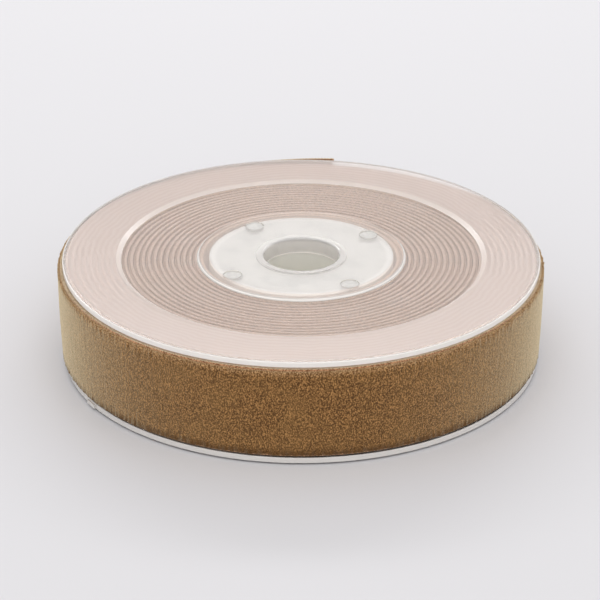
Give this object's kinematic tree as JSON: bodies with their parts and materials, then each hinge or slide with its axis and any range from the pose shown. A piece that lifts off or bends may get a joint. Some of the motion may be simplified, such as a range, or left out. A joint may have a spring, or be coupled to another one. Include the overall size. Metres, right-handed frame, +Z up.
{
  "type": "ribbon spool",
  "caption": "Clear flanged spool on a milky hub, wound with beige velvet ribbon, its loose end free to open.",
  "frame": {"origin": "centre of the bore in the plane that the bottom flange rests on", "axes": "+Z up along the bore, +X to the right as the spool lies; the ribbon's loose end leaves the roll 118 degrees anticlockwise from +X, seen from above"},
  "size_m": [0.0813, 0.0846, 0.018],
  "materials": {
    "clear_styrene": "clear injection-moulded polystyrene, polished in the recess and frosted outside it",
    "milky_styrene": "milky translucent polystyrene",
    "velvet": "short dense pile with a strong sheen",
    "tape": "thin double-sided tape"
  },
  "bodies": {
    "spool": {"top_flange": "clear_styrene", "bottom_flange": "clear_styrene", "hub_core": "milky_styrene", "ribbon_roll": "velvet", "start_tape": "tape"},
    "loose_end": {"ribbon_tail": "velvet"}
  },
  "joints": [
    {"name": "tail_bend", "type": "hinge", "parent": "spool", "child": "loose_end", "pos_m": [-0.01925, 0.0362, 0.009], "axis": [0, 0, 1], "range_deg": [0, 60]}
  ]
}
